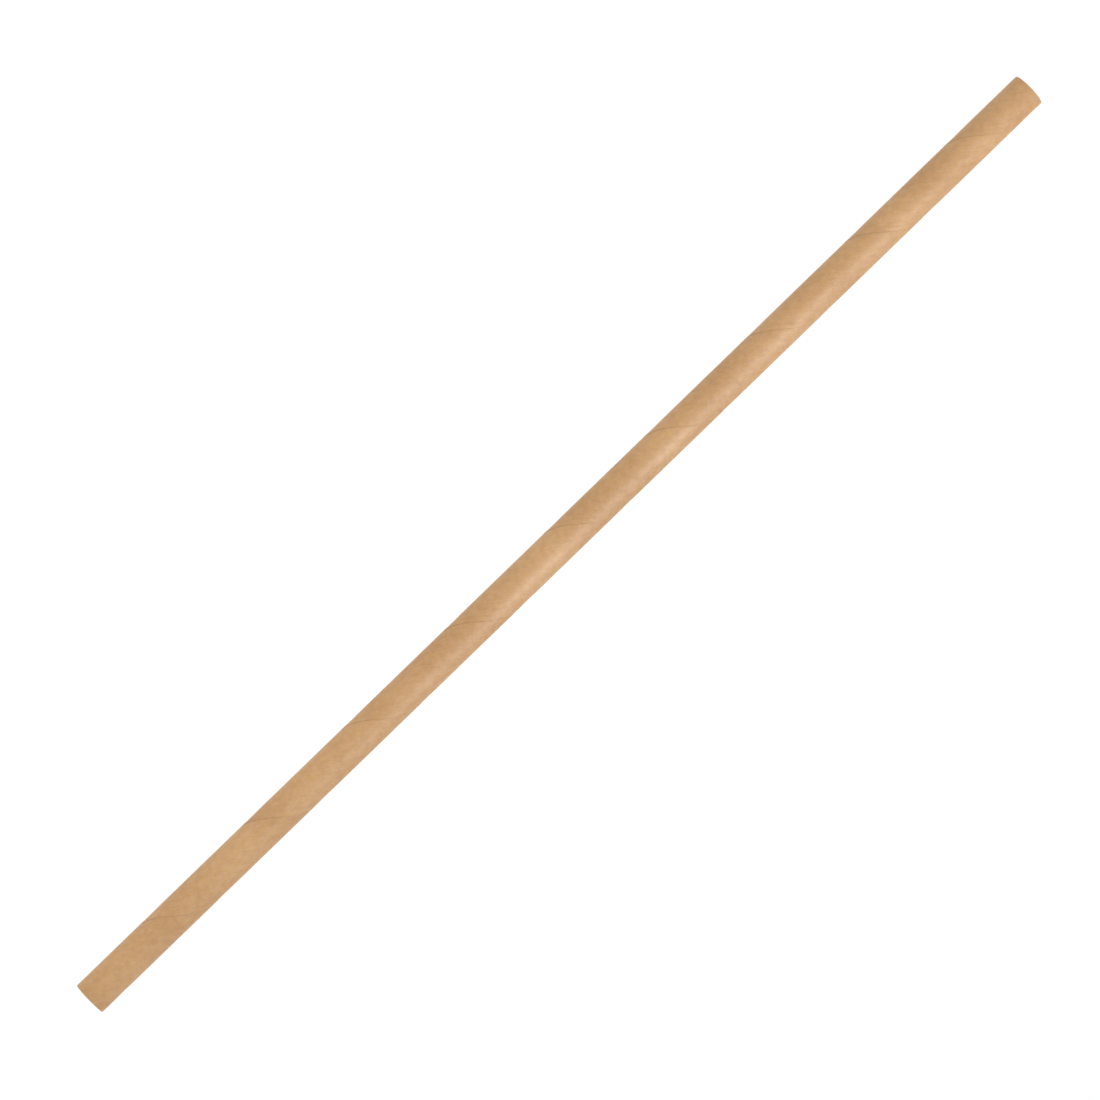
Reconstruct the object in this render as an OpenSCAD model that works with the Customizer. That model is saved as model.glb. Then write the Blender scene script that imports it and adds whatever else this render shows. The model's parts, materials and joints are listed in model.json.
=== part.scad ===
// Spiral-wound paper drinking straw.
// Strips of kraft paper are wound at a slant, one ply over another, and glued.
// The edges of each strip meet edge to edge, which leaves a fine seam that runs
// along the tube as a right-handed helix, one outside and one in the bore.
// The straw lies on its side along X. The origin is under the middle of its
// length, on the surface that it lies on.

/* [Straw] */
// Length of the straw, from cut end to cut end
straw_length = 210; // [120:1:260]
// Outside diameter of the tube
outer_diameter = 5.9; // [5.4:0.1:8]

/* [Paper] */
// Number of plies in the wall
ply_count = 3; // [2:1:4]
// Thickness of one ply, with its glue
ply_thickness = 0.13; // [0.08:0.01:0.2]
// Width of the strip that makes the outer ply, which sets the slant of the seam
strip_width = 14.3; // [10:0.1:15]

/* [Seam] */
// Gap between the two edges of a strip, measured square to the seam
seam_gap = 0.15; // [0.06:0.01:0.4]
// Distance along X from the middle of the straw to where the outer seam crosses its top
seam_offset = 4.0; // [-10:0.1:10]
// Distance along X from the seam of one ply to the seam of the ply inside it
ply_stagger = 1.3; // [0.8:0.1:4]

/* [Cut ends] */
// Rounding of the wall's corners where the straw is cut to length
rim_radius = 0.07; // [0.02:0.01:0.15]

/* [Fineness] */
// Flat steps in each turn of a seam
steps_per_turn = 36; // [24:4:60]

/* [Hidden] */
$fn = 96;
kraft = [0.80, 0.63, 0.46];
top = 90;

outer_radius = outer_diameter / 2;
wall = ply_count * ply_thickness;
bore_radius = outer_radius - wall;
rim = min(rim_radius, 0.45 * wall);

// A worn corner is three small flats, a quarter of this polygon
rim_sides = 12;

// The outer strip covers the tube with no overlap, so its width and the
// circumference give the distance that a seam advances in one turn.
circumference = PI * outer_diameter;
lead = circumference * strip_width / sqrt(circumference ^ 2 - strip_width ^ 2);

// The inner ply's seam, after one stagger for each ply on the way in
inner_seam_offset = seam_offset + (ply_count - 1) * ply_stagger;

// How far the seam's cutter stands clear of the paper's surface
clear = 0.5 * ply_thickness;

// Length that a width, measured square to a seam, takes up along the tube
function along_tube(width, radius) = width * norm([2 * PI * radius, lead]) / (2 * PI * radius);

// Half of the tube's lengthwise section: radius along X, length along Y
module wall_section() {
    translate([bore_radius + wall / 2, 0])
    difference() {
        square([wall, straw_length], center = true);
        for (face = [0, 1], end = [0, 1])
            mirror([face, 0])
            mirror([0, end])
            translate([wall / 2 - rim, straw_length / 2 - rim])
            difference() {
                square(2 * rim);
                circle(r = rim, $fn = rim_sides);
            }
    }
}

// Band one gap wide that follows a seam past both ends, between two radii
module seam_band(low_radius, high_radius, offset) {
    half_low = along_tube(seam_gap, low_radius) / 2;
    half_high = along_tube(seam_gap, high_radius) / 2;
    section = [
        [-half_low, low_radius],
        [half_low, low_radius],
        [half_high, high_radius],
        [-half_high, high_radius]
    ];
    corners = len(section);
    reach = straw_length / 2 + max(half_low, half_high);
    first = floor((-reach - offset) / lead * steps_per_turn) - 1;
    last = ceil((reach - offset) / lead * steps_per_turn) + 1;
    rings = last - first;
    points = [
        for (step = [first:last], corner = section)
            let (turns = step / steps_per_turn, angle = top + 360 * turns)
            [
                offset + lead * turns + corner.x,
                corner.y * cos(angle),
                corner.y * sin(angle)
            ]
    ];
    sides = [
        for (ring = [0:rings - 1], k = [0:corners - 1])
            let (a = ring * corners + k, b = ring * corners + (k + 1) % corners)
            each [[a, b + corners, b], [a, a + corners, b + corners]]
    ];
    start_cap = [for (k = [0:corners - 1]) k];
    end_cap = [for (k = [corners - 1:-1:0]) rings * corners + k];
    polyhedron(points = points, faces = concat([start_cap], sides, [end_cap]));
}

// The tube with the seams of its outer and inner plies
module straw() {
    color(kraft)
    translate([0, 0, outer_radius])
    difference() {
        rotate([0, 90, 0])
            rotate_extrude()
                wall_section();
        seam_band(outer_radius - ply_thickness, outer_radius + clear, seam_offset);
        seam_band(bore_radius - clear, bore_radius + ply_thickness, inner_seam_offset);
    }
}

straw();
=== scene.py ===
"""Looks of a spiral-wound kraft paper drinking straw.

The wall is made as the real one is: a strip's section, from one seam to the
next, is screwed along the tube, once for the outer ply and once for the bore.
The two skins are cut square at the ends and joined by a rim that shows the
edges of the plies. The finish is laid on the flat strip, along and across its
fibres, so it winds with the paper and breaks at the seams.
"""

import json
import math
from types import SimpleNamespace

import bmesh
import bpy
import numpy as np
from mathutils import Matrix, Vector


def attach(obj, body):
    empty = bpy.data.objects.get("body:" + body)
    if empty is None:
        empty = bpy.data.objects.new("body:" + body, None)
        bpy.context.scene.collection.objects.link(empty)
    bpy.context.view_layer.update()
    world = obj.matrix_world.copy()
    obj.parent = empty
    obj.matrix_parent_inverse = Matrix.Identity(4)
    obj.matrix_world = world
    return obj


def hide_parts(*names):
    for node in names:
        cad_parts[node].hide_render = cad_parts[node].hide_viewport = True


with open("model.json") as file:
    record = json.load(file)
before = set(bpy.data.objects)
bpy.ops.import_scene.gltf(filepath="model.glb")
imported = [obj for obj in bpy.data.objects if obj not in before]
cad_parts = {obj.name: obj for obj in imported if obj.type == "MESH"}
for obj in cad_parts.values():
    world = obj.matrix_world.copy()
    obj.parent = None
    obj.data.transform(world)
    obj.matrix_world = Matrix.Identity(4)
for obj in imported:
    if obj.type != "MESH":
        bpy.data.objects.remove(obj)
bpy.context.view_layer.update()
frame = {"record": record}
bpy.ops.object.select_all(action="DESELECT")

MM = 0.001
TURN = 2 * math.pi
WHITE = (1, 1, 1, 1)

# Sizes of the tube, from the frame
dims = {mount["name"]: mount["dims"] for mount in frame["record"]["mounts"]}
LENGTH = dims["outside"]["length_mm"] * MM
OUTER_RADIUS = dims["outside"]["r_mm"] * MM
BORE_RADIUS = dims["bore"]["r_mm"] * MM
AXIS = Vector((0, 0, OUTER_RADIUS))

# Sizes of the paper: its plies, the strip's width, where the outer seam crosses
# the top of the straw, and how far further along the seam of each ply inside lies
PLIES = 3
PLY = (OUTER_RADIUS - BORE_RADIUS) / PLIES
STRIP_WIDTH = 14.3 * MM
SEAM_OFFSET = 4.0 * MM
PLY_STAGGER = 1.3 * MM
BORE_SEAM_OFFSET = SEAM_OFFSET + (PLIES - 1) * PLY_STAGGER

# A seam's advance in one turn, and the width of the strip that it leaves in the bore
CIRCUMFERENCE = TURN * OUTER_RADIUS
BORE_CIRCUMFERENCE = TURN * BORE_RADIUS
LEAD = CIRCUMFERENCE * STRIP_WIDTH / math.sqrt(CIRCUMFERENCE**2 - STRIP_WIDTH**2)
BORE_STRIP_WIDTH = LEAD * BORE_CIRCUMFERENCE / math.hypot(LEAD, BORE_CIRCUMFERENCE)

# The gap between a strip's edges, and how far its floor lies under the near edge
SEAM_GAP = 0.06 * MM
SEAM_DEPTH = 0.5 * PLY
SEAM_LEAN = 0.20 * MM

# The edge that a strip starts with is near the seam before it, and the edge that
# it ends with is far from it. Each is rounded over a width and falls by a drop.
NEAR_ROUND = 0.50 * MM
NEAR_DROP = 0.008 * MM
FAR_ROUND = 0.22 * MM
FAR_DROP = 0.024 * MM

# The outer ply's sag over a seam below it: how deep, how soon, and for how long
SAG = 0.040 * MM
SAG_REACH = 0.24 * MM
SAG_RETURN = 4.0 * MM

# The cut ends: round corners, fine grooves between the plies, and the share by
# which the seams' notches are evened out there
RIM_ROUND = 0.10 * MM
PLY_LINE_DEPTH = 0.035 * MM
PLY_LINE_REACH = 0.022 * MM
NOTCH_EVENING = 0.6

# Fineness of the mesh: steps round the tube, points on a rounded edge, fine steps
# until the last sag has gone down, and wide steps over the rest of the strip
STEPS_A_TURN = 80
EDGE_PARTS = (0.25, 0.5, 0.75, 1.0)
SAGS_END = (PLIES - 0.8) * PLY_STAGGER
SAG_STEP = 0.16 * MM
PLAIN_STEP = 0.8 * MM
BORE_PLAIN_START = 2 * MM
BORE_STEP = 1.6 * MM
TINY = 0.0005 * MM
SMOOTH_ANGLE = math.radians(35)

# The baked sheet: space between its parts, and the most seams that half a straw has
SHEET_MARGIN = 1.0 * MM
HALF_SEAMS = 6

# Colours of the paper, as linear light
PAPER_DEEP = (0.400, 0.1965, 0.0755, 1)
PAPER_PALE = (0.760, 0.4735, 0.2540, 1)
WARMER = (1.0, 0.985, 0.82, 1)
FLECK = (0.280, 0.135, 0.050, 1)
# Darker paper at a seam's edges with painted shade of the seam's step, also the painted shade
# line over a sag
SEAM_EDGE_AND_SHADE = (0.340, 0.175, 0.070, 1)
# Painted shade deep in a seam's gap
GAP_PAINTED_SHADE = (0.090, 0.040, 0.016, 1)
CUT_DEEP = (0.500, 0.290, 0.135, 1)
CUT_PALE = (0.740, 0.510, 0.300, 1)
GLUE = (0.330, 0.190, 0.090, 1)

# Strength of the fibres and of the clouds in the paper's face and in its cut,
# and how far the fibres stand out
FACE_CONTRASTS = (1.0, 0.62)
CUT_CONTRASTS = (1.4, 0.5)
FACE_BUMP = 0.012 * MM
CUT_BUMP = 0.020 * MM

# Strength of the darker paper and painted shade beside a seam, and of the painted shade line
# over the sag above a seam below
OUTER_SHADES = (0.17, 0.07)
BORE_SHADES = (0.30, 0.0)
SHADE_REACH = 0.16 * MM

# Each run of fibres: the way it lies in degrees, its length against its width,
# its fineness in fibres to the millimetre, and its share of what shows. All have
# one grain, which is its detail and its roughness.
FIBRE_RUNS = (
    (0, 40.0, 2.6, 0.17),
    (4, 12.0, 5.5, 0.38),
    (27, 7.0, 6.5, 0.22),
    (-33, 7.0, 7.0, 0.20),
    (75, 5.0, 8.0, 0.18),
)
FIBRE_GRAIN = (3.0, 0.6)
FIBRE_HEIGHT = 1.2

# Each uneven tone: its fineness to the millimetre, its detail and its roughness
CLOUDS = (0.7, 4.0, 0.7)
DRIFT = (0.06, 1.0, 0.5)
WARMTH = (1.1, 2.0, 0.5)
SLOW_CHANGE = (0.05, 1.0, 0.5)
QUICK_CHANGE = (0.9, 2.0, 0.5)

# Flecks: how many there are to the millimetre, their width against their length,
# and their strength
FLECKS = 0.9
FLECK_WIDTH = 0.45
FLECK_STRENGTH = 0.45

# Each change of tone: where its input starts and stops, and what comes out there.
# Inputs are shares from 0 to 1, or distances in millimetres.
WARM_PATCHES = (0.3, 0.7, 0.0, 1.0)
CHOSEN_FLECKS = (0.80, 0.90, 0.0, 1.0)
FLECK_EDGE = (0.02, 0.075, 1.0, 0.0)
PAPER_DULLNESS = (0.2, 0.8, 0.66, 0.54)
SLOW_SHARE = (0.35, 0.65, 0.6, 1.0)
QUICK_SHARE = (0.3, 0.7, 0.6, 1.0)
# These four shape the seams' darker paper and painted shade: beside the edges, over the sag
# above a seam below, and deep in the gap
BESIDE_SEAM = (0.0, 1.0, 1.0, 0.0)
SAG_LINE_SHADE = (0.0, 0.2, 1.0, 0.0)
GAP_DEPTH = (0.028, 0.042, 0.0, 1.0)
GAP_REACH = (0.05, 0.07, 1.0, 0.0)
GLUE_LINE = (0.004, 0.024, 0.6, 0.0)

# The photograph's frame, in its own pixels, and the camera that took it: the
# straw's turn in the picture, and the view's tilt along the straw
FRAME_PX = 1100
SPAN_PX = 1308.4
MIDDLE_PX = (561.65, 541.86)
FOCAL_PX = 5235
STRAW_ANGLE = math.radians(44.07)
TILT = math.radians(2.4)
SENSOR_MM = 36.0
CLIP_START = 10 * MM

# The floor, and the light of the studio: the surround and the floor as seen
FLOOR_SIZE = 6
FLOOR_GREY = (0.15, 0.15, 0.15, 1)
FLOOR_DULLNESS = 0.9
FLOOR_LIGHT = 0.92
SURROUND_LIGHT = 0.60

# Each softbox has its place, the point it faces, its length and width, its turn
# from the straw's line, its power, and whether it makes the shine or the rest.
SOFTBOXES = (
    ("right", (0.10, -0.08, 0.16), (0.06, 0, 0.003), (0.12, 0.10), -8, 0.136, False),
    ("left", (-0.09, 0.05, 0.15), (-0.07, 0, 0.003), (0.12, 0.08), 0, 0.067, False),
    ("shine", (0.03, -0.099, 0.090), (0.03, 0, 0.003), (0.12, 0.070), 0, 0.306, True),
)


def only(obj):
    """Selects one object and nothing else."""
    bpy.ops.object.select_all(action="DESELECT")
    obj.select_set(True)
    bpy.context.view_layer.objects.active = obj


def edit(obj):
    """Opens one object in edit mode with nothing selected."""
    only(obj)
    bpy.ops.object.mode_set(mode="EDIT")
    bpy.ops.mesh.select_mode(type="VERT")
    bpy.ops.mesh.select_all(action="DESELECT")


def done():
    """Leaves edit mode."""
    bpy.ops.object.mode_set(mode="OBJECT")


def seam_section(radius, outwards, offsets, relief, lean):
    """The strip's section from the middle of one gap to the middle of the next.

    Points are (distance along X from the seam, distance from the axis). The
    paper's face stands at the radius, and the gap goes the other way and leans
    under the edge that the strip starts with.
    """
    around = TURN * radius
    half_gap = 0.5 * SEAM_GAP * math.hypot(around, LEAD) / around
    start, stop = half_gap, LEAD - half_gap
    floor = radius - outwards * SEAM_DEPTH
    face = [(x, radius - outwards * relief(x)) for x in offsets if start < x < stop]
    near_edge = (start, radius - outwards * relief(start))
    far_edge = (stop, radius - outwards * relief(stop))
    near_side = [(lean, floor), (start + lean, floor), near_edge]
    far_side = [far_edge, (stop + lean, floor), (LEAD + lean, floor)]
    return near_side + face + far_side


def edge_drop(x):
    """How far the paper's face falls away beside a cut edge.

    The edge that a strip ends with is pushed down further than the edge that
    the next turn starts with, so the seam is a small step.
    """
    near = max(0.0, 1.0 - x / NEAR_ROUND)
    far = max(0.0, 1.0 - (LEAD - x) / FAR_ROUND)
    return NEAR_DROP * near**2 + FAR_DROP * far**2


def outer_relief(x):
    """Depth of the outer ply's face: its soft edges and its sag over the seams below.

    Over each seam below the face dips quickly, and rises again slowly.
    """
    drop = edge_drop(x)
    for ply in range(1, PLIES):
        past = x - ply * PLY_STAGGER + SAG_REACH / 2
        dip = min(max(0.5 + 0.5 * past / SAG_REACH, 0.0), 1.0)
        rise = min(max(1.0 - past / SAG_RETURN, 0.0), 1.0)
        drop += SAG / ply * dip**2 * (3 - 2 * dip) * rise**2
    return drop


def section_offsets(plain_start, fine_step, plain_step):
    """Where the section has points: close together at the seam, wider over plain paper."""
    near = [NEAR_ROUND * part for part in EDGE_PARTS]
    far = [LEAD - FAR_ROUND * part for part in reversed(EDGE_PARTS)]
    fine = list(np.arange(near[-1] + fine_step, plain_start, fine_step))
    plain = list(np.arange(plain_start, far[0] - plain_step / 2, plain_step))
    return near + fine + plain + far


def wind(name, section, seam_offset):
    """Screws a section along the tube, a little past both ends, and cuts them square."""
    turns_before = math.ceil((LENGTH / 2 + seam_offset) / LEAD) + 1
    first_seam = seam_offset - turns_before * LEAD
    turns = math.ceil((LENGTH / 2 - first_seam) / LEAD) + 1
    points = [Vector((first_seam + x, 0.0, radius)) for x, radius in section]

    # The section starts as a small plane that is merged to one point
    bpy.ops.mesh.primitive_plane_add(size=PLY, location=AXIS)
    skin = bpy.context.object
    skin.name = name
    edit(skin)
    bpy.ops.mesh.select_all(action="SELECT")
    bpy.ops.mesh.merge(type="CENTER")
    bpy.ops.transform.translate(value=points[0])
    for here, there in zip(points, points[1:]):
        bpy.ops.mesh.extrude_region_move(TRANSFORM_OT_translate={"value": there - here})
    done()

    winding = skin.modifiers.new("winding", "SCREW")
    winding.axis = "X"
    winding.angle = TURN
    winding.screw_offset = LEAD
    winding.iterations = turns
    winding.steps = winding.render_steps = STEPS_A_TURN
    winding.use_smooth_shade = True
    bpy.ops.object.modifier_apply(modifier=winding.name)
    bpy.ops.object.transform_apply(location=True, rotation=False, scale=False)

    edit(skin)
    bpy.ops.mesh.select_all(action="SELECT")
    bpy.ops.mesh.remove_doubles(threshold=TINY)
    for end in (-1, 1):
        bpy.ops.mesh.select_all(action="SELECT")
        bpy.ops.mesh.bisect(
            plane_co=(end * (LENGTH / 2 - RIM_ROUND), 0, 0),
            plane_no=(end, 0, 0),
            clear_outer=True,
            threshold=TINY / 10,
        )
    done()
    return skin


def select_rim(obj, end):
    """Selects the open edges at one end."""
    mesh = bmesh.from_edit_mesh(obj.data)
    for edge in mesh.edges:
        middle = (edge.verts[0].co + edge.verts[1].co) / 2
        edge.select = edge.is_boundary and middle.x * end > 0
    mesh.select_flush_mode()
    bmesh.update_edit_mesh(obj.data)


def turn_corners(skin, radius, outwards):
    """Carries a skin round its two cut ends and over its ply's edge, past the glue line.

    Each step of the edge is (distance along the straw, distance into the wall,
    share by which the seams' notches are evened out there). The first three go
    round the corner by 30 degrees each.
    """
    low, middle, high = 1 - math.sqrt(0.75), math.sqrt(0.75) - 0.5, 0.5
    steps = (
        (RIM_ROUND * high, RIM_ROUND * low, 0),
        (RIM_ROUND * middle, RIM_ROUND * middle, 0),
        (RIM_ROUND * low, RIM_ROUND * high, 0),
        (0, PLY - RIM_ROUND - PLY_LINE_REACH, 0),
        (-PLY_LINE_DEPTH, PLY_LINE_REACH, NOTCH_EVENING),
        (PLY_LINE_DEPTH, PLY_LINE_REACH, 0),
    )
    edit(skin)
    bpy.ops.mesh.select_mode(type="EDGE")
    for end in (-1, 1):
        here = radius
        centre = AXIS + Vector((end * (LENGTH / 2 - RIM_ROUND), 0, 0))
        for along, inward, evened in steps:
            there = here - outwards * inward
            ratio = there / here
            move = Vector((end * along, 0, 0))
            centre = centre + move
            select_rim(skin, end)
            bpy.ops.mesh.extrude_edges_move(TRANSFORM_OT_translate={"value": move})
            bpy.ops.transform.resize(value=(1, ratio, ratio), center_override=AXIS)
            if evened:
                bpy.ops.transform.tosphere(value=evened, center_override=centre)
            here = there
    done()


def wind_outer_ply(paper):
    """The outer skin, with a slot that leans under the strip and its sags."""
    offsets = section_offsets(SAGS_END, SAG_STEP, PLAIN_STEP)
    section = seam_section(OUTER_RADIUS, 1, offsets, outer_relief, SEAM_LEAN)
    skin = wind("straw_wall", section, SEAM_OFFSET)
    skin.data.materials.append(paper)
    turn_corners(skin, OUTER_RADIUS, 1)
    return skin


def wind_inner_ply(paper):
    """The bore's skin, with an upright slot."""
    offsets = section_offsets(BORE_PLAIN_START, BORE_STEP, BORE_STEP)
    section = seam_section(BORE_RADIUS, -1, offsets, edge_drop, 0)
    skin = wind("bore", section, BORE_SEAM_OFFSET)
    skin.data.materials.append(paper)
    turn_corners(skin, BORE_RADIUS, -1)
    return skin


def close_ends(obj, cut_paper):
    """Joins the two skins at both ends, and gives the cut its own paper."""
    obj.data.materials.append(cut_paper)
    edit(obj)
    bpy.ops.mesh.select_mode(type="EDGE")
    for end in (-1, 1):
        select_rim(obj, end)
        bpy.ops.mesh.fill(use_beauty=True)

    bpy.ops.mesh.select_mode(type="FACE")
    mesh = bmesh.from_edit_mesh(obj.data)
    for face in mesh.faces:
        face.select = abs(face.calc_center_median().x) > LENGTH / 2 - RIM_ROUND / 2
    mesh.select_flush_mode()
    bmesh.update_edit_mesh(obj.data)
    obj.active_material_index = len(obj.data.materials) - 1
    bpy.ops.object.material_slot_assign()
    bpy.ops.mesh.select_all(action="SELECT")
    bpy.ops.mesh.normals_make_consistent(inside=False)
    done()


def build_straw(paper, bore_paper, cut_paper):
    """The wall: outer skin, bore and the two rims, as one closed surface."""
    wall = wind_outer_ply(paper)
    bore = wind_inner_ply(bore_paper)
    only(wall)
    bore.select_set(True)
    bpy.ops.object.join()
    close_ends(wall, cut_paper)
    lay_maps(wall)
    only(wall)
    bpy.ops.object.shade_smooth_by_angle(angle=SMOOTH_ANGLE)
    return wall


def read(items, name, width, kind=np.float32):
    """Reads one value of every vertex, corner or face into rows."""
    values = np.empty(len(items) * width, dtype=kind)
    items.foreach_get(name, values)
    return values.reshape(-1, width) if width > 1 else values


def write_map(mesh, name, across, up):
    """Keeps two columns of places as a UV map."""
    layer = mesh.uv_layers.new(name=name)
    layer.data.foreach_set("uv", np.stack([across, up], axis=1).astype(np.float32).ravel())


def turned_from_top(places):
    """Angle round the straw's axis, from the top towards -Y."""
    return np.arctan2(-places[:, 1], places[:, 2])


def depth_in_skin(places, radius):
    """How deep places lie in a seam, where a skin's face stands at the radius."""
    reach = np.hypot(places[:, 1], places[:, 2])
    return np.clip(np.abs(radius - reach), 0, SEAM_DEPTH)


def measure_corners(mesh):
    """Where each face corner is, and where on the wall its face is.

    Places are from the straw's axis. A corner's step is the angle from the
    middle of its face, which keeps the faces under the straw whole.
    """
    count = read(mesh.polygons, "loop_total", 1, np.int32)
    face = np.repeat(np.arange(len(count)), count)
    corner = read(mesh.loops, "vertex_index", 1, np.int32)
    at = SimpleNamespace()
    at.middle = (read(mesh.polygons, "center", 3).astype(float) - AXIS)[face]
    at.place = read(mesh.vertices, "co", 3).astype(float)[corner] - AXIS
    at.turned = turned_from_top(at.middle)
    step = turned_from_top(at.place) - at.turned
    at.step = (step + math.pi) % TURN - math.pi

    # The two skins, told apart by their distance from the axis
    middle_reach = np.hypot(at.middle[:, 1], at.middle[:, 2])
    at.inside = middle_reach < (OUTER_RADIUS + BORE_RADIUS) / 2
    at.radius = np.where(at.inside, BORE_RADIUS, OUTER_RADIUS)
    at.seam = np.where(at.inside, BORE_SEAM_OFFSET, SEAM_OFFSET) + LEAD * at.turned / TURN
    at.depth = depth_in_skin(at.place, at.radius)
    at.middle_depth = depth_in_skin(at.middle, at.radius)
    return at


def set_upright(at):
    """Takes the lean out of the sides and the floor of the outer seam's gap.

    Those are the faces close to the seam that lie below the strip's edges.
    """
    off_seam = (at.middle[:, 0] - at.seam + LEAD / 2) % LEAD - LEAD / 2
    in_gap = (np.abs(off_seam) < 2 * SEAM_LEAN) & (at.middle_depth > 0.4 * SEAM_DEPTH)
    lean = np.where(in_gap & ~at.inside, SEAM_LEAN, 0.0)
    edge = (NEAR_DROP + FAR_DROP) / 2
    share = np.clip((at.depth - edge) / (SEAM_DEPTH - edge), 0, 1)
    at.upright = at.middle[:, 0] - lean * (at.middle_depth - edge) / (SEAM_DEPTH - edge)
    at.corner_upright = at.place[:, 0] - lean * share
    at.from_seam = (at.upright - at.seam) % LEAD


def lay_strip_map(mesh, at):
    """The map "strip", in millimetres: along the flat strip, and across it from its seam."""
    around = TURN * at.radius
    slant = np.hypot(LEAD, around)
    first_seam = at.seam - LEAD * at.turned / TURN
    wound = TURN * (at.upright - first_seam - at.from_seam) / LEAD
    at.turn = np.round((wound - at.turned) / TURN)
    corner_from_seam = at.from_seam + at.corner_upright - at.upright - LEAD * at.step / TURN
    along = (at.place[:, 0] * LEAD + at.radius * (wound + at.step) * around) / slant
    across = corner_from_seam * around / slant
    write_map(mesh, "strip", along / MM, across / MM)


def lay_baked_sheet(mesh, at):
    """The map "OFBake": the wall unrolled in half lengths, and the cut ends above it.

    The sides of each seam are opened out, which makes the sheet longer by twice
    the seam's depth. The outer skin's two rows lie below the bore's, and the two
    ends lie side by side, as seen square on.
    """
    before_seam = at.from_seam < LEAD / 2
    opened = np.where(before_seam, SEAM_DEPTH - at.depth, SEAM_DEPTH + at.depth)
    second = at.middle[:, 0] > 0
    half = LENGTH / 2
    slack = 2 * SEAM_DEPTH * HALF_SEAMS
    outer_row = CIRCUMFERENCE + SHEET_MARGIN
    bore_row = BORE_CIRCUMFERENCE + SHEET_MARGIN
    row = np.where(
        at.inside,
        2 * outer_row + (0.5 + second) * bore_row,
        (0.5 + second) * outer_row,
    )
    sheet_x = at.corner_upright + opened + 2 * SEAM_DEPTH * at.turn
    sheet_x = sheet_x + np.where(second, 0.0, half + slack) + SHEET_MARGIN
    sheet_y = at.radius * (at.turned + at.step) + row + SHEET_MARGIN / 2

    at_end = np.abs(at.middle[:, 0]) > half - RIM_ROUND / 2
    end_column = np.where(second, 5, 2) * (OUTER_RADIUS + SHEET_MARGIN)
    end_row = 2 * outer_row + 2 * bore_row + OUTER_RADIUS + SHEET_MARGIN
    sheet_x = np.where(at_end, end_column + at.place[:, 1], sheet_x)
    sheet_y = np.where(at_end, end_row + at.place[:, 2], sheet_y)
    side = half + 2 * slack + 2 * SEAM_DEPTH + 2 * SHEET_MARGIN
    write_map(mesh, "OFBake", sheet_x / side, sheet_y / side)


def lay_maps(obj):
    """Gives each face corner its place on the flat strip and on the baked sheet."""
    at = measure_corners(obj.data)
    set_upright(at)
    lay_strip_map(obj.data, at)
    lay_baked_sheet(obj.data, at)
    obj.data.uv_layers["strip"].active_render = True


def put(tree, kind, sockets=None, **options):
    """Adds a node, sets its options, and gives its inputs a value or a link."""
    made = tree.nodes.new(kind)
    for name, choice in options.items():
        setattr(made, name, choice)
    for name, value in (sockets or {}).items():
        if isinstance(value, bpy.types.NodeSocket):
            tree.links.new(value, made.inputs[name])
        else:
            made.inputs[name].default_value = value
    return made


def work_out(tree, operation, *values, clamp=False):
    """One step of arithmetic, and its result."""
    sockets = dict(enumerate(values))
    return put(tree, "ShaderNodeMath", sockets, operation=operation, use_clamp=clamp).outputs[0]


def plus(tree, first, second, clamp=False):
    """Two values together."""
    return work_out(tree, "ADD", first, second, clamp=clamp)


def minus(tree, first, second):
    """One value less another."""
    return work_out(tree, "SUBTRACT", first, second)


def times(tree, first, second):
    """One value times another."""
    return work_out(tree, "MULTIPLY", first, second)


def apart(tree, first, second):
    """How far two values are apart."""
    return work_out(tree, "ABSOLUTE", minus(tree, first, second))


def noise(tree, place, fineness, detail, roughness):
    """An uneven tone over a surface."""
    sockets = {"Vector": place, "Scale": fineness, "Detail": detail, "Roughness": roughness}
    return put(tree, "ShaderNodeTexNoise", sockets).outputs[0]


def noise_along(tree, distance, fineness, detail, roughness):
    """An uneven tone along a line."""
    sockets = {"W": distance, "Scale": fineness, "Detail": detail, "Roughness": roughness}
    return put(tree, "ShaderNodeTexNoise", sockets, noise_dimensions="1D").outputs[0]


def blend(tree, amount, under, over, how="MIX"):
    """Lays one colour over another."""
    sockets = {0: amount, 6: under, 7: over}
    return put(tree, "ShaderNodeMix", sockets, data_type="RGBA", blend_type=how).outputs[2]


def fade(tree, value, start, stop, to_start, to_stop):
    """Eases from one value to another while an input goes from start to stop."""
    sockets = {
        "Value": value,
        "From Min": start,
        "From Max": stop,
        "To Min": to_start,
        "To Max": to_stop,
    }
    eased = put(tree, "ShaderNodeMapRange", sockets, interpolation_type="SMOOTHSTEP")
    return eased.outputs[0]


def start_group(name, inputs, outputs):
    """A node group with named inputs and outputs, and its two end nodes."""
    tree = bpy.data.node_groups.new(name, "ShaderNodeTree")
    for label, kind in inputs:
        tree.interface.new_socket(label, in_out="INPUT", socket_type="NodeSocket" + kind)
    for label, kind in outputs:
        tree.interface.new_socket(label, in_out="OUTPUT", socket_type="NodeSocket" + kind)
    given = put(tree, "NodeGroupInput").outputs
    return tree, given, put(tree, "NodeGroupOutput")


def place_group(tree, group, **sockets):
    """Places a node group in a material with its own values."""
    made = tree.nodes.new("ShaderNodeGroup")
    made.node_tree = group
    for name, value in sockets.items():
        socket = made.inputs[name.replace("_", " ").capitalize()]
        if isinstance(value, bpy.types.NodeSocket):
            tree.links.new(value, socket)
        else:
            socket.default_value = value
    return made.outputs


def lay_fibres(tree, place):
    """All the runs of fibres together, as much above zero as below it."""
    fibres = None
    for lie, length, fineness, share in FIBRE_RUNS:
        turned = {
            "Vector": place,
            "Rotation": (0, 0, math.radians(lie)),
            "Scale": (length, 1, 1),
        }
        laid = put(tree, "ShaderNodeMapping", turned, vector_type="TEXTURE").outputs[0]
        run = times(tree, minus(tree, noise(tree, laid, fineness, *FIBRE_GRAIN), 0.5), share)
        fibres = run if fibres is None else plus(tree, fibres, run)
    return fibres


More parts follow.
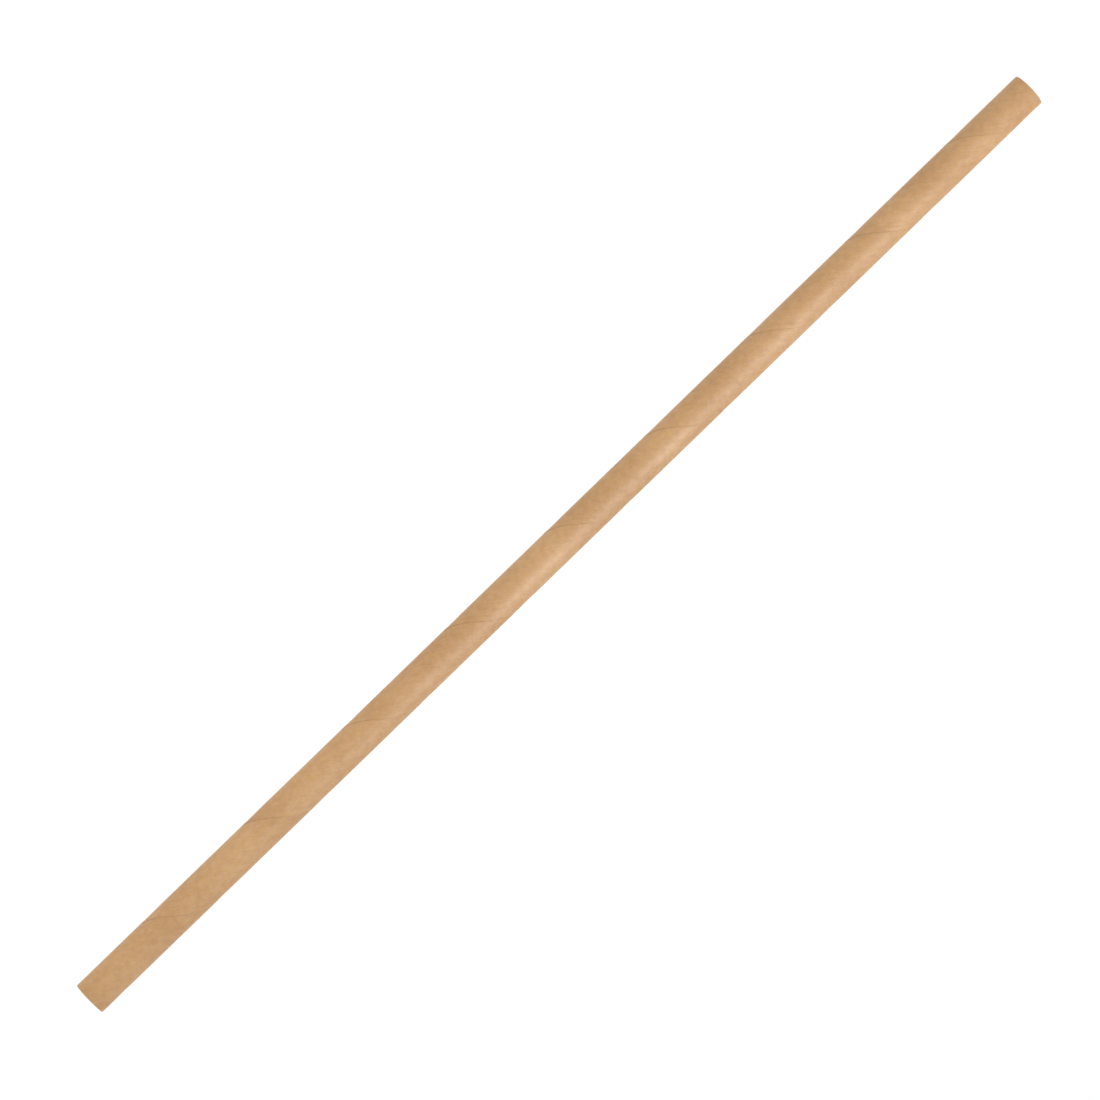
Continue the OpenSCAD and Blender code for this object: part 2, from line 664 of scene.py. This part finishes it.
def lay_flecks(tree, place):
    """A few small flecks, longer along the strip."""
    stretch = {"Vector": place, "Scale": (FLECK_WIDTH, 1, 1)}
    stretched = put(tree, "ShaderNodeMapping", stretch).outputs[0]
    cells = put(tree, "ShaderNodeTexVoronoi", {"Vector": stretched, "Scale": FLECKS}).outputs
    draw = put(tree, "ShaderNodeSeparateColor", {"Color": cells["Color"]}).outputs[0]
    chosen = fade(tree, draw, *CHOSEN_FLECKS)
    fleck = times(tree, fade(tree, cells["Distance"], *FLECK_EDGE), chosen)
    return times(tree, fleck, FLECK_STRENGTH)


def make_fibres():
    """Kraft paper's fibres, clouds and flecks, laid along a strip in millimetres."""
    tree, given, out = start_group(
        "kraft_fibres",
        (
            ("Place", "Vector"),
            ("Deep", "Color"),
            ("Pale", "Color"),
            ("Fleck", "Color"),
            ("Fibre contrast", "Float"),
            ("Cloud contrast", "Float"),
        ),
        (("Color", "Color"), ("Height", "Float"), ("Dullness", "Float")),
    )
    place = given["Place"]
    fibres = lay_fibres(tree, place)
    clouds = plus(tree, noise(tree, place, *CLOUDS), noise(tree, place, *DRIFT))
    patches = times(tree, minus(tree, clouds, 1.0), given["Cloud contrast"])
    tone = plus(tree, times(tree, fibres, given["Fibre contrast"]), patches)
    tone = plus(tree, tone, 0.5, clamp=True)
    color = blend(tree, tone, given["Deep"], given["Pale"])

    warmer = blend(tree, 1.0, color, WARMER, "MULTIPLY")
    warmth = fade(tree, noise(tree, place, *WARMTH), *WARM_PATCHES)
    color = blend(tree, warmth, color, warmer)
    color = blend(tree, lay_flecks(tree, place), color, given["Fleck"])

    height = plus(tree, times(tree, fibres, FIBRE_HEIGHT), 0.5, clamp=True)
    tree.links.new(color, out.inputs["Color"])
    tree.links.new(height, out.inputs["Height"])
    tree.links.new(fade(tree, tone, *PAPER_DULLNESS), out.inputs["Dullness"])
    return tree


def make_from_axis():
    """Place from the straw's axis, and distance from it, in millimetres."""
    tree, _, out = start_group("from_axis", (), (("Place", "Vector"), ("Distance", "Float")))
    spot = put(tree, "ShaderNodeTexCoord").outputs["Object"]
    moved = {"Vector": spot, "Location": tuple(-AXIS / MM), "Scale": (1 / MM,) * 3}
    place = put(tree, "ShaderNodeMapping", moved).outputs[0]
    parts = put(tree, "ShaderNodeSeparateXYZ", {"Vector": place}).outputs
    square = {"Y": parts["Y"], "Z": parts["Z"]}
    flat = put(tree, "ShaderNodeCombineXYZ", square).outputs[0]
    length = put(tree, "ShaderNodeVectorMath", {0: flat}, operation="LENGTH")
    tree.links.new(place, out.inputs["Place"])
    tree.links.new(length.outputs["Value"], out.inputs["Distance"])
    return tree


def make_seam_shade():
    """Shade of a seam: darker paper and painted shade beside the strip's edges, painted
    shade deep in the gap, and a painted shade line over the sag above a seam below.

    The first two are stronger in some places than in others.
    """
    tree, given, out = start_group(
        "seam_shade",
        (
            ("Place", "Vector"),
            ("Strip width", "Float"),
            ("Reach", "Float"),
            ("Strength", "Float"),
            ("Depth", "Float"),
            ("Below", "Float"),
            ("Below strength", "Float"),
        ),
        (("Mask", "Float"), ("Gap", "Float")),
    )
    parts = put(tree, "ShaderNodeSeparateXYZ", {"Vector": given["Place"]}).outputs
    along, across = parts["X"], parts["Y"]
    near = work_out(tree, "MINIMUM", across, minus(tree, given["Strip width"], across))
    slow = fade(tree, noise_along(tree, along, *SLOW_CHANGE), *SLOW_SHARE)
    quick = fade(tree, noise_along(tree, along, *QUICK_CHANGE), *QUICK_SHARE)
    uneven = times(tree, slow, quick)

    share = work_out(tree, "DIVIDE", near, given["Reach"])
    # Darker paper beside the strip's edges, with painted shade of the seam's step
    beside = times(tree, fade(tree, share, *BESIDE_SEAM), uneven)
    mask = times(tree, beside, given["Strength"])
    # Painted shade: a faint dark line over the sag above each seam below
    sag_shade = fade(tree, apart(tree, across, given["Below"]), *SAG_LINE_SHADE)
    sag_shade = times(tree, sag_shade, given["Below strength"])
    tree.links.new(work_out(tree, "MAXIMUM", mask, sag_shade), out.inputs["Mask"])

    # Painted shade in the gap, darker the deeper it lies
    deep = fade(tree, given["Depth"], *GAP_DEPTH)
    deep = times(tree, deep, fade(tree, near, *GAP_REACH))
    tree.links.new(times(tree, deep, uneven), out.inputs["Gap"])
    return tree


def start_material(name):
    """A material, its node tree and its shader."""
    material = bpy.data.materials.new(name)
    material.use_nodes = True
    tree = material.node_tree
    return material, tree, tree.nodes["Principled BSDF"]


def finish_paper(tree, shader, color, paper, bump):
    """Feeds a paper's colour, dullness and fibres to its shader."""
    sockets = {"Height": paper["Height"], "Distance": bump, "Strength": 1.0}
    raised = put(tree, "ShaderNodeBump", sockets).outputs[0]
    tree.links.new(color, shader.inputs["Base Color"])
    tree.links.new(paper["Dullness"], shader.inputs["Roughness"])
    tree.links.new(raised, shader.inputs["Normal"])


def make_wound_paper(name, radius, width, shades):
    """Kraft paper wound as a strip, seen on its face."""
    material, tree, shader = start_material(name)
    distance = place_group(tree, from_axis)["Distance"]
    place = put(tree, "ShaderNodeUVMap", uv_map="strip").outputs[0]
    paper = place_group(
        tree,
        kraft_fibres,
        place=place,
        deep=PAPER_DEEP,
        pale=PAPER_PALE,
        fleck=FLECK,
        fibre_contrast=FACE_CONTRASTS[0],
        cloud_contrast=FACE_CONTRASTS[1],
    )
    seam = place_group(
        tree,
        seam_shade,
        place=place,
        strip_width=width / MM,
        reach=SHADE_REACH / MM,
        strength=shades[0],
        depth=apart(tree, distance, radius / MM),
        below=PLY_STAGGER * STRIP_WIDTH / LEAD / MM,
        below_strength=shades[1],
    )
    # Darker paper and painted shade beside the seams and over the sags, then painted shade deep
    # in the gaps
    color = blend(tree, seam["Mask"], paper["Color"], SEAM_EDGE_AND_SHADE)
    color = blend(tree, seam["Gap"], color, GAP_PAINTED_SHADE)
    finish_paper(tree, shader, color, paper, FACE_BUMP)
    return material


def make_cut_paper():
    """The cut ends of the plies, paler and rougher, with glue between them."""
    material, tree, shader = start_material("cut_paper")
    spot = place_group(tree, from_axis)
    paper = place_group(
        tree,
        kraft_fibres,
        place=spot["Place"],
        deep=CUT_DEEP,
        pale=CUT_PALE,
        fleck=FLECK,
        fibre_contrast=CUT_CONTRASTS[0],
        cloud_contrast=CUT_CONTRASTS[1],
    )
    color = paper["Color"]
    for ply in range(1, PLIES):
        off = apart(tree, spot["Distance"], (BORE_RADIUS + ply * PLY) / MM)
        color = blend(tree, fade(tree, off, *GLUE_LINE), color, GLUE)
    finish_paper(tree, shader, color, paper, CUT_BUMP)
    return material


def aim_matrix(place, right, up, back):
    """Puts a camera or a light at a place, turned to face away from its back."""
    turn = Matrix((right, up, back)).transposed().to_4x4()
    return Matrix.Translation(place) @ turn


def add_camera():
    """The photograph's view: from above, a little tilted along the straw."""
    pixel = LENGTH / SPAN_PX
    cos_angle, sin_angle = math.cos(STRAW_ANGLE), math.sin(STRAW_ANGLE)
    off = Vector(MIDDLE_PX) - Vector((FRAME_PX / 2, FRAME_PX / 2))
    off_along = off.dot(Vector((cos_angle, -sin_angle)))
    off_across = off.dot(Vector((sin_angle, cos_angle)))
    target = AXIS + Vector((-off_along * pixel, off_across * pixel, 0))
    back = Vector((-math.sin(TILT), 0, math.cos(TILT)))
    lengthwise = Vector((math.cos(TILT), 0, math.sin(TILT)))
    sideways = back.cross(lengthwise)
    right = cos_angle * lengthwise - sin_angle * sideways
    up = sin_angle * lengthwise + cos_angle * sideways

    data = bpy.data.cameras.new("camera")
    data.sensor_width = SENSOR_MM
    data.lens = SENSOR_MM * FOCAL_PX / FRAME_PX
    data.clip_start = CLIP_START
    camera = bpy.data.objects.new("camera", data)
    bpy.context.scene.collection.objects.link(camera)
    camera.matrix_world = aim_matrix(target + FOCAL_PX * pixel * back, right, up, back)
    bpy.context.scene.camera = camera


def add_softbox(name, place, aim, size, turn, power, shine):
    """A softbox that faces a point, its long side along the straw but for a turn."""
    data = bpy.data.lights.new(name, "AREA")
    data.shape = "RECTANGLE"
    data.size, data.size_y = size
    data.energy = power
    light = bpy.data.objects.new(name, data)
    bpy.context.scene.collection.objects.link(light)
    angle = math.radians(turn)
    back = (Vector(place) - Vector(aim)).normalized()
    lengthwise = Vector((math.cos(angle), math.sin(angle), 0))
    lengthwise = (lengthwise - lengthwise.dot(back) * back).normalized()
    light.matrix_world = aim_matrix(place, lengthwise, back.cross(lengthwise), back)
    light.visible_camera = False
    light.visible_glossy = shine
    light.visible_diffuse = not shine


def add_floor():
    """A lit white floor."""
    bpy.ops.mesh.primitive_plane_add(size=FLOOR_SIZE, location=(0, 0, 0))
    floor = bpy.context.object
    floor.name = "floor"
    material, _, shader = start_material("floor")
    shader.inputs["Base Color"].default_value = FLOOR_GREY
    shader.inputs["Roughness"].default_value = FLOOR_DULLNESS
    shader.inputs["Emission Color"].default_value = WHITE
    shader.inputs["Emission Strength"].default_value = FLOOR_LIGHT
    floor.data.materials.append(material)


def add_studio():
    """The floor, an even white surround and the softboxes."""
    add_floor()
    world = bpy.data.worlds.new("surround")
    world.use_nodes = True
    surround = world.node_tree.nodes["Background"]
    surround.inputs["Color"].default_value = WHITE
    surround.inputs["Strength"].default_value = SURROUND_LIGHT
    bpy.context.scene.world = world
    for softbox in SOFTBOXES:
        add_softbox(*softbox)
    bpy.context.scene.view_settings.view_transform = "Standard"
    bpy.context.scene.view_settings.look = "None"


kraft_fibres = make_fibres()
from_axis = make_from_axis()
seam_shade = make_seam_shade()
straw = build_straw(
    make_wound_paper("kraft_paper", OUTER_RADIUS, STRIP_WIDTH, OUTER_SHADES),
    make_wound_paper("bore_paper", BORE_RADIUS, BORE_STRIP_WIDTH, BORE_SHADES),
    make_cut_paper(),
)
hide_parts("straw")
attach(straw, "root")
add_camera()
add_studio()
